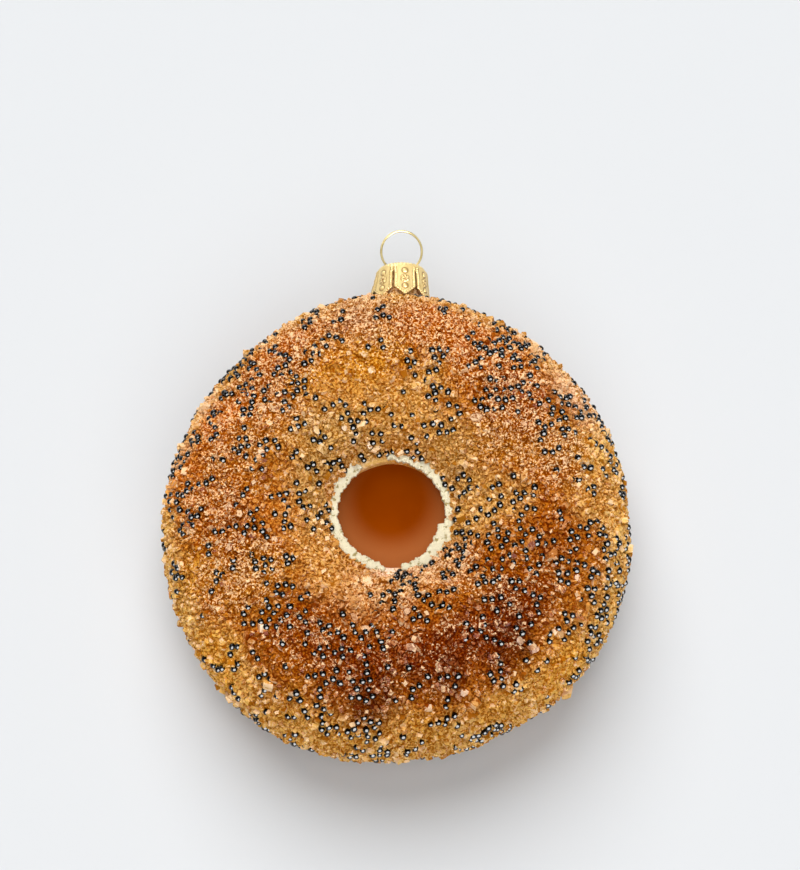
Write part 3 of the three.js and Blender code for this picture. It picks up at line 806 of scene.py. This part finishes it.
# The airbrush's soft spots, in the order they are sprayed: degrees from +X, distance
# from the hole's axis, the spot's radius, its colour and how strong it is.
FRONT_SPRAY = (
    (0, 14, 8, TAN, 0.8), (45, 14, 8, TAN, 0.8), (90, 16, 9, BEIGE, 0.9), (135, 16, 9, TAN, 0.9),
    (180, 15, 8, TAN, 0.9), (225, 15, 8, BEIGE, 0.8), (265, 14, 7, SALMON, 0.9),
    (310, 14, 7, SALMON, 0.8), (75, 20, 7, BEIGE, 0.6), (110, 20, 7, BEIGE, 0.6),
    (185, 20, 6, ORANGE, 0.6), (28, 22, 7, HONEY, 0.7), (248, 18, 6, SALMON, 0.7),
    (100, 27, 8, AMBER, 0.9), (124, 28, 7, AMBER, 0.7), (60, 33, 8, RUSSET, 0.8),
    (40, 31, 7, RUSSET, 0.6), (0, 27, 8, TOAST, 0.25), (20, 31, 7, HONEY, 0.6),
    (80, 35, 7, RUSSET, 0.6), (101, 37, 7, SALMON, 0.8), (127, 35, 7, RUSSET, 0.7),
    (153, 35, 7, RUSSET, 0.9), (172, 38, 7, RUSSET, 0.8), (160, 26, 7, HONEY, 0.4),
    (191, 28, 8, TOAST, 0.7), (212, 28, 8, HONEY, 0.6), (232, 30, 9, TOAST, 0.9),
    (236, 25, 7, DARK_TOAST, 0.4), (258, 29, 9, DARK_TOAST, 0.85), (282, 28, 8, DARK_TOAST, 0.95),
    (302, 29, 8, DARK_TOAST, 0.95), (322, 28, 8, DARK_TOAST, 0.85), (350, 30, 7, TOAST, 0.8),
    (335, 24, 7, TOAST, 0.5), (285, 32, 5, UMBER, 0.5), (308, 32, 5, UMBER, 0.7),
    (315, 27, 5, UMBER, 0.5), (292, 27, 5, UMBER, 0.4), (265, 34, 6, UMBER, 0.7),
    (200, 37, 6, AMBER, 0.7), (222, 40, 7, GOLD, 0.9), (240, 39, 6, AMBER, 0.7),
    (240, 37, 5, TOAST, 0.4), (257, 40, 6, AMBER, 0.7), (276, 40, 6, AMBER, 0.6),
    (296, 40, 6, AMBER, 0.6), (316, 39.5, 7, GOLD, 0.9), (335, 40, 6, STRAW, 0.7),
    # The PEACH spots along the top rim are partly lighter paint and partly painted light, where the
    # top is lit.
    (355, 39, 7, STRAW, 0.8), (14, 38, 8, STRAW, 0.9), (32, 40, 8, PEACH, 0.8),
    (50, 41, 8, PEACH, 0.9), (75, 42, 10, PEACH, 1.0), (100, 42, 10, PEACH, 1.0),
    (125, 42, 9, PEACH, 1.0), (150, 42, 9, PEACH, 1.0), (178, 42, 6, STRAW, 0.7),
    (266, 10.2, 3.2, PALE_PEACH, 1.0), (108, 10.4, 4, TAN, 0.8), (300, 12, 4, PEACH, 0.6),
    (350, 12, 4, STRAW, 0.6), (75, 24, 5, STRAW, 0.4), (192, 23, 5, TOAST, 0.35),
    (272, 21, 5, DARK_TOAST, 0.35), (330, 19, 5, TOAST, 0.8), (345, 28, 5, DARK_TOAST, 0.3),
    (37, 29, 8, TOAST, 0.75), (55, 28, 7, TOAST, 0.5), (0, 33, 5, STRAW, 0.6),
    (355, 16, 6, BEIGE, 0.6), (0, 21, 5, TAN, 0.4), (165, 40, 5, PEACH, 0.5),
    (76, 19, 4, BEIGE, 0.8), (128, 31, 6, TOAST, 0.55), (165, 27, 6, TOAST, 0.25),
    (102, 33, 6, DUSKY, 0.6),
)
BACK_SPRAY = (
    (30, 14, 9, TAN, 0.8), (150, 14, 9, BEIGE, 0.8), (270, 14, 9, TAN, 0.8),
    (0, 28, 12, TOAST, 0.6), (75, 27, 11, ORANGE, 0.6), (140, 28, 11, TOAST, 0.6),
    (210, 27, 12, DARK_TOAST, 0.6), (285, 28, 11, TOAST, 0.7), (20, 40, 10, GOLD, 0.6),
    (100, 40, 10, PEACH, 0.6), (180, 40, 10, GOLD, 0.6), (245, 40, 10, GOLD, 0.6),
    (310, 40, 10, GOLD, 0.6),
)

# Where the clear crystals lie thickest: degrees, distance, the spot's radius, and how thick.
FRONT_FROST = (
    (95, 35, 11, 1.0), (70, 33, 9, 0.9), (120, 36, 9, 0.8), (45, 30, 9, 0.85), (90, 25, 7, 0.12),
    (135, 32, 9, 0.6), (155, 33, 9, 0.5), (180, 32, 9, 0.45), (205, 33, 8, 0.4), (30, 24, 8, 0.5),
    (270, 14, 7, 0.5), (310, 15, 7, 0.5), (300, 25, 8, 0.15), (325, 27, 8, 0.2),
    (265, 27, 8, 0.15), (240, 28, 7, 0.25), (15, 30, 8, 0.7), (140, 26, 7, 0.4), (205, 27, 7, 0.4),
)
BACK_FROST = ((90, 35, 12, 0.7), (210, 27, 12, 0.5), (330, 28, 12, 0.5))
FROST_ELSEWHERE = 0.12


def spot_centre(degrees, radius, side):
    """A spot's centre on the front (side 1) or the back (side -1), in metres."""
    half = FRONT if side > 0 else BACK
    height = side * np.interp(radius, half[:, 0], half[:, 1])
    place = skin(np.array(float(radius)), np.array(height), np.array(math.radians(degrees)))
    return tuple((place + CENTRE) * MM)


# ---- Materials ----


class Nodes:
    """A node tree under construction."""

    def __init__(self, tree):
        self.tree = tree

    def put(self, socket, value):
        """Links another node's output to a socket, or sets the socket's own value."""
        if hasattr(value, "is_output"):
            self.tree.links.new(value, socket)
        else:
            socket.default_value = value

    def add(self, kind, inputs=None, **settings):
        node = self.tree.nodes.new(kind)
        for key, value in settings.items():
            setattr(node, key, value)
        for key, value in (inputs or {}).items():
            self.put(node.inputs[key], value)
        return node

    def math(self, operation, a, b=0.0):
        return self.add("ShaderNodeMath", {0: a, 1: b}, operation=operation).outputs[0]

    def vector(self, operation, a, b, output="Vector"):
        return self.add("ShaderNodeVectorMath", {0: a, 1: b}, operation=operation).outputs[output]

    def distance(self, a, b):
        return self.vector("DISTANCE", a, b, "Value")

    def mix_color(self, factor, a, b, blend="MIX"):
        inputs = {0: factor, 6: a, 7: b}
        return self.add("ShaderNodeMix", inputs, data_type="RGBA", blend_type=blend).outputs[2]

    def ramp(self, value, low, high, to_low=0.0, to_high=1.0):
        inputs = {"Value": value, "From Min": low, "From Max": high,
                  "To Min": to_low, "To Max": to_high}
        node = self.add("ShaderNodeMapRange", inputs, interpolation_type="SMOOTHSTEP")
        return node.outputs["Result"]

    def noise(self, scale, detail, place, output="Fac"):
        """Noise with a grain of about 1/scale metres."""
        inputs = {"Scale": scale, "Detail": detail, "Vector": place}
        return self.add("ShaderNodeTexNoise", inputs).outputs[output]

    def mottled(self, scale, detail, place, low, high, a, b):
        """Two colours in a noise's low and high places."""
        return self.mix_color(self.ramp(self.noise(scale, detail, place), low, high), a, b)

    def attribute(self, name):
        return self.add("ShaderNodeAttribute", attribute_name=name).outputs["Fac"]

    def own_number(self):
        """A random number for each grain or bead of a piece."""
        return self.add("ShaderNodeNewGeometry").outputs["Random Per Island"]

    def bump(self, strength, distance, height):
        inputs = {"Strength": strength, "Distance": distance, "Height": height}
        return self.add("ShaderNodeBump", inputs).outputs[0]

    def place(self):
        return self.add("ShaderNodeTexCoord").outputs["Object"]

    def out_from(self, place, x, y):
        """How far a place lies from the upright line at x and y."""
        flat = self.vector("MULTIPLY", place, (1, 1, 0))
        return self.distance(flat, tuple((CENTRE + (x, y, 0)) * (MM, MM, 0)))


class Material(Nodes):
    """A new material and its one shader."""

    def __init__(self, name):
        self.material = bpy.data.materials.new(name)
        self.material.use_nodes = True
        super().__init__(self.material.node_tree)

    def finished(self, values):
        """The material, once its shader's sockets have their values."""
        shader = self.tree.nodes["Principled BSDF"]
        for socket, value in values.items():
            self.put(shader.inputs[socket], value)
        return self.material


def sprayed(nodes, place, color, spots, side):
    """A colour with soft round spots of other colours laid over it, one after the other."""
    for degrees, radius, width, paint, strength in spots:
        away = nodes.distance(place, spot_centre(degrees, radius, side))
        factor = nodes.ramp(away, 0.3 * width * MM, 1.3 * width * MM, strength, 0.0)
        color = nodes.mix_color(factor, color, paint)
    return color


def airbrush_group():
    """The paint at any place, for all that shows it, and how frosted the glass is there. Its
    lighter rim and top carry painted light as well as paint.
    """
    group = bpy.data.node_groups.new("airbrushed_paint", "ShaderNodeTree")
    group.interface.new_socket("Color", in_out="OUTPUT", socket_type="NodeSocketColor")
    group.interface.new_socket("Frost", in_out="OUTPUT", socket_type="NodeSocketFloat")
    nodes = Nodes(group)
    place = nodes.place()
    drift = nodes.vector("SUBTRACT", nodes.noise(130.0, 3.0, place, "Color"), (0.5, 0.5, 0.5))
    place = nodes.vector("ADD", place, nodes.vector("MULTIPLY", drift, (0.009, 0.009, 0.009)))
    # Straw towards the outer rim: partly the rim's own paint, partly painted light shining through
    # the glass at the outline.
    rim = nodes.ramp(nodes.out_from(place, 0, 0), 0.0355, 0.042, 0.0, 0.95)
    color = nodes.mix_color(rim, BASE_PAINT, STRAW)
    color = sprayed(nodes, place, color, FRONT_SPRAY, 1)
    color = sprayed(nodes, place, color, BACK_SPRAY, -1)
    frost = sprayed(nodes, place, grey(FROST_ELSEWHERE), frosting(FRONT_FROST), 1)
    frost = sprayed(nodes, place, frost, frosting(BACK_FROST), -1)
    nodes.add("NodeGroupOutput", {0: color, 1: frost})
    return group


def paint_and_frost(nodes, group):
    return nodes.add("ShaderNodeGroup", node_tree=group).outputs[:2]


def shaded_paint(nodes, color, share):
    """The paint's colour in painted shade: darker, and redder too."""
    color = nodes.add("ShaderNodeGamma", {"Color": color, "Gamma": 1.35}).outputs[0]
    return nodes.mix_color(1.0, color, (share, share * 0.78, share * 0.28, 1), "MULTIPLY")


def bent_lines(nodes, place, scale, width):
    """Thin bent lines, some 1/scale metres apart."""
    line = nodes.math("ABSOLUTE", nodes.math("SUBTRACT", nodes.noise(scale, 1.0, place), 0.5))
    return nodes.ramp(line, width * 0.3, width, 1.0, 0.0)


def painted_glint_and_shade(nodes, place, frost):
    """Painted light that crushed glass adds to a facet: painted highlights along bent edges, and
    painted shade in the gaps between them.
    """
    gaps = nodes.math("SUBTRACT", nodes.noise(2400.0, 2.0, place), 0.532)
    gaps = nodes.math("MULTIPLY", gaps, nodes.ramp(frost, 0.0, 1.0, 1.3, 7.0))
    broken = nodes.math("ADD", nodes.noise(420.0, 1.0, place), nodes.math("MULTIPLY", frost, 0.22))
    edges = bent_lines(nodes, place, 1250.0, 0.075)
    edges = nodes.math("MULTIPLY", edges, nodes.ramp(broken, 0.5, 0.62))
    edges = nodes.math("MULTIPLY", edges, nodes.ramp(frost, 0.0, 0.6, 0.3, 0.9))
    return nodes.math("ADD", gaps, edges)


def crushed(nodes, paint, bright, body, highlight_color):
    """Painted shade of the paint in the gaps and shaded facets, the body's colour in the middle,
    and a painted highlight where the glass is brightest.
    """
    color = nodes.mix_color(nodes.ramp(bright, 0.0, 0.36), shaded_paint(nodes, paint, 0.55), body)
    return nodes.mix_color(nodes.ramp(bright, 0.58, 0.8), color, highlight_color)


def painted_glass(group, clear):
    glass = Material("painted_glass")
    place = glass.place()
    paint, frost = paint_and_frost(glass, group)
    # Painted light on the crust: painted shade darkens it between the grains, less so on the bare
    # lip by the hole, and painted highlights follow the glass's bent edges.
    bare_lip = glass.ramp(glass.out_from(place, *HOLE_SHIFT), 0.0106, 0.0118, 0.5, 0.16)
    bright = glass.math("ADD", painted_glint_and_shade(glass, place, frost), bare_lip)
    return glass.finished({
        "Base Color": crushed(glass, paint, bright, paint, glass.mix_color(0.6, paint, clear)),
        "Roughness": 0.45,
        "Specular IOR Level": 0.0,
        "Normal": glass.bump(0.5, 0.0003, glass.noise(1600.0, 2.0, place)),
    })


def grit_glass(name, group, clear, milk, depth, crumbling, gloss):
    """Crushed glass over the paint, with painted light: painted shade in its shaded facets and
    gaps, and painted highlights in the bright ones.

    The two values of milk are how milky the clearest and the milkiest grain are, depth is how
    much a facet's painted light counts, and crumbling how much the finer painted highlights and
    shade do.
    """
    glass = Material(name)
    paint, frost = paint_and_frost(glass, group)
    facet = glass.math("MULTIPLY", glass.attribute("facet"), depth)
    facet = glass.math("ADD", facet, 0.3 * (1.0 - depth))
    crumbs = glass.math("MULTIPLY", painted_glint_and_shade(glass, glass.place(), frost), crumbling)
    bright = glass.math("ADD", facet, crumbs)
    body = glass.mix_color(glass.ramp(glass.own_number(), 0.0, 1.0, *milk), paint, clear)
    return glass.finished({
        "Base Color": crushed(glass, paint, bright, body, glass.mix_color(0.86, paint, clear)),
        "Roughness": 0.15,
        "Specular IOR Level": gloss,
    })


def black_glass():
    glass = Material("black_glass")
    shade = glass.ramp(glass.own_number(), 0.7, 1.0)
    return glass.finished({
        "Base Color": glass.mix_color(shade, srgb("000000"), srgb("050403")),
        "Roughness": 0.08,
        "IOR": 1.38,
    })


def cream_enamel():
    enamel = Material("cream_enamel")
    place = enamel.place()
    ivory, pit = srgb("DCD2B2"), srgb("948450")
    return enamel.finished({
        "Base Color": enamel.mottled(1100.0, 4.0, place, 0.54, 0.66, ivory, pit),
        "Roughness": 0.5,
        "Specular IOR Level": 0.12,
        "Normal": enamel.bump(1.0, 0.0003, enamel.noise(1700.0, 3.0, place)),
    })


def brown_lacquer():
    """Brown, with painted light: paler towards the lower edge of the bowl, on -Y, where its wall
    would face the light, and darker above, where it would be shaded.
    """
    lacquer = Material("brown_lacquer")
    place = lacquer.place()
    deep = lacquer.mottled(120.0, 2.0, place, 0.3, 0.7, srgb("7E3200"), srgb("863800"))
    # Painted light: the farther from a point 4 mm above the bowl's middle, the lighter the brown.
    away = lacquer.out_from(place, HOLE_SHIFT[0], HOLE_SHIFT[1] + 4.0)
    return lacquer.finished({
        "Base Color": lacquer.mix_color(lacquer.ramp(away, 0.005, 0.0108), deep, srgb("A25C2E")),
        "Roughness": 0.6,
        "Specular IOR Level": 0.0,
        "Normal": lacquer.bump(0.12, 0.0001, lacquer.noise(3500.0, 2.0, place)),
    })


def stamped_gold():
    gold = Material("stamped_gold")
    place = gold.place()
    bright = gold.mottled(900.0, 3.0, place, 0.35, 0.7, srgb("F2D896"), srgb("E8CA84"))
    # Painted shade: the rings round the raised dots are darkened towards dark brown.
    painted_dot_shade = gold.math("MULTIPLY", gold.attribute("dot_shade_ring"), 0.9)
    return gold.finished({
        "Base Color": gold.mix_color(painted_dot_shade, bright, srgb("7E4E0C")),
        "Roughness": gold.ramp(gold.noise(1500.0, 3.0, place), 0.3, 0.7, 0.28, 0.38),
        "Metallic": 0.2,
        "Specular IOR Level": 0.3,
    })


def pale_wire():
    wire = Material("pale_wire")
    light, dark = srgb("CDBB84"), srgb("B4A068")
    return wire.finished({
        "Base Color": wire.mottled(600.0, 2.0, wire.place(), 0.3, 0.7, light, dark),
        "Roughness": 0.3,
        "Metallic": 0.35,
    })


def pale_floor():
    return Material("pale_floor").finished({
        "Base Color": srgb("D6D8DA"),
        "Roughness": 0.8,
        "Specular IOR Level": 0.0,
    })


# ---- The object ----

paint = airbrush_group()
skin_glass = painted_glass(paint, srgb("FFDCAC"))
fine_glass = grit_glass("fine_grit", paint, srgb("FFDCAC"), (0.0, 0.05), 0.45, 1.0, 0.0)
coarse_glass = grit_glass("coarse_grit", paint, srgb("FFD8A8"), (0.0, 0.15), 1.3, 0.8, 0.03)
flake_glass = grit_glass("clear_flakes", paint, srgb("FFE4C0"), (0.25, 0.6), 1.3, 0.3, 0.1)

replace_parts(make_crust(skin_glass), "bagel")
lacquer = brown_lacquer()
make_bowl("front_bowl", FRONT_LEDGE, 1, lacquer)
make_bowl("back_bowl", BACK_LEDGE, -1, lacquer)
enamel = cream_enamel()
make_cream("front_cream_rim", FRONT, 1, enamel)
make_cream("back_cream_rim", BACK, -1, enamel)
fine_chips = chip_templates(28, 4, 0.58, 0.42)
make_fine_grit("grit_front", 0.9, ALONG_RIM, FRONT_GRAINS, fine_chips, fine_glass)
make_fine_grit("grit_back", ALONG_RIM, ALONG_END - 0.9, BACK_GRAINS, fine_chips, fine_glass)
make_coarse_grit(coarse_glass)
make_flakes(flake_glass)
make_beads(black_glass())
make_neck(skin_glass)
make_neck_grit(fine_glass)
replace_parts(make_cap(stamped_gold()), "cap")
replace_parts(make_loop(pale_wire()), "hanging_loop")

# ---- Camera, floor and light ----

VIEW_TILT = math.radians(19.5)  # off the front face's normal, towards the foot of the picture
VIEW_DISTANCE = 400.0
AIM_UP = 16.15
AIM_RIGHT = 0.72
PIXELS_PER_MM = 5.56
PICTURE_WIDTH = 800
SENSOR = 36.0
FLOOR_REACH = 4.0  # metres
FLOOR_DROP = 0.0002


def add_camera():
    up = np.array([0, math.cos(VIEW_TILT), math.sin(VIEW_TILT)])
    towards_camera = np.array([0, -math.sin(VIEW_TILT), math.cos(VIEW_TILT)])
    aim = CENTRE + up * AIM_UP + np.array([AIM_RIGHT, 0, 0])
    data = bpy.data.cameras.new("camera")
    data.sensor_fit = "HORIZONTAL"
    data.sensor_width = SENSOR
    data.lens = PIXELS_PER_MM * VIEW_DISTANCE * SENSOR / PICTURE_WIDTH
    data.clip_start = 0.01
    camera = bpy.data.objects.new("camera", data)
    camera.location = (aim + towards_camera * VIEW_DISTANCE) * MM
    camera.rotation_euler = (VIEW_TILT, 0, 0)
    bpy.context.scene.collection.objects.link(camera)
    bpy.context.scene.camera = camera


def add_floor():
    mesh = bpy.data.meshes.new("floor")
    sides = ((-1, -1), (1, -1), (1, 1), (-1, 1))
    mesh.from_pydata([(x * FLOOR_REACH, y * FLOOR_REACH, 0) for x, y in sides], [], [(0, 1, 2, 3)])
    mesh.materials.append(pale_floor())
    floor = bpy.data.objects.new("floor", mesh)
    floor.location.z = -FLOOR_DROP
    bpy.context.scene.collection.objects.link(floor)


def add_sky_light(name, direction, degrees, strength, gloss):
    """A far round softbox, so many degrees wide, for gloss alone or for all but gloss."""
    data = bpy.data.lights.new(name, "SUN")
    data.angle = math.radians(degrees)
    data.energy = strength
    light = bpy.data.objects.new(name, data)
    light.rotation_euler = Vector(direction).to_track_quat("Z", "Y").to_euler()
    light.visible_diffuse = not gloss
    light.visible_glossy = gloss
    bpy.context.scene.collection.objects.link(light)


def add_world():
    """A dim room, so that black gloss stays black beside its highlights."""
    world = bpy.data.worlds.new("studio")
    world.use_nodes = True
    background = world.node_tree.nodes["Background"]
    background.inputs["Color"].default_value = (0.96, 0.98, 1.0, 1)
    background.inputs["Strength"].default_value = 0.1
    bpy.context.scene.world = world


add_camera()
add_floor()
add_world()
add_sky_light("key", (0.1, -0.5, 0.86), 60, 1.6, gloss=False)
add_sky_light("fill", (-0.1, 0.55, 0.83), 52, 2.8, gloss=False)
add_sky_light("window", (0.25, -0.8, 0.55), 92, 40.0, gloss=True)
add_sky_light("back_window", (-0.3, 0.85, 0.4), 44, 3.0, gloss=True)
bpy.context.scene.view_settings.view_transform = "Standard"
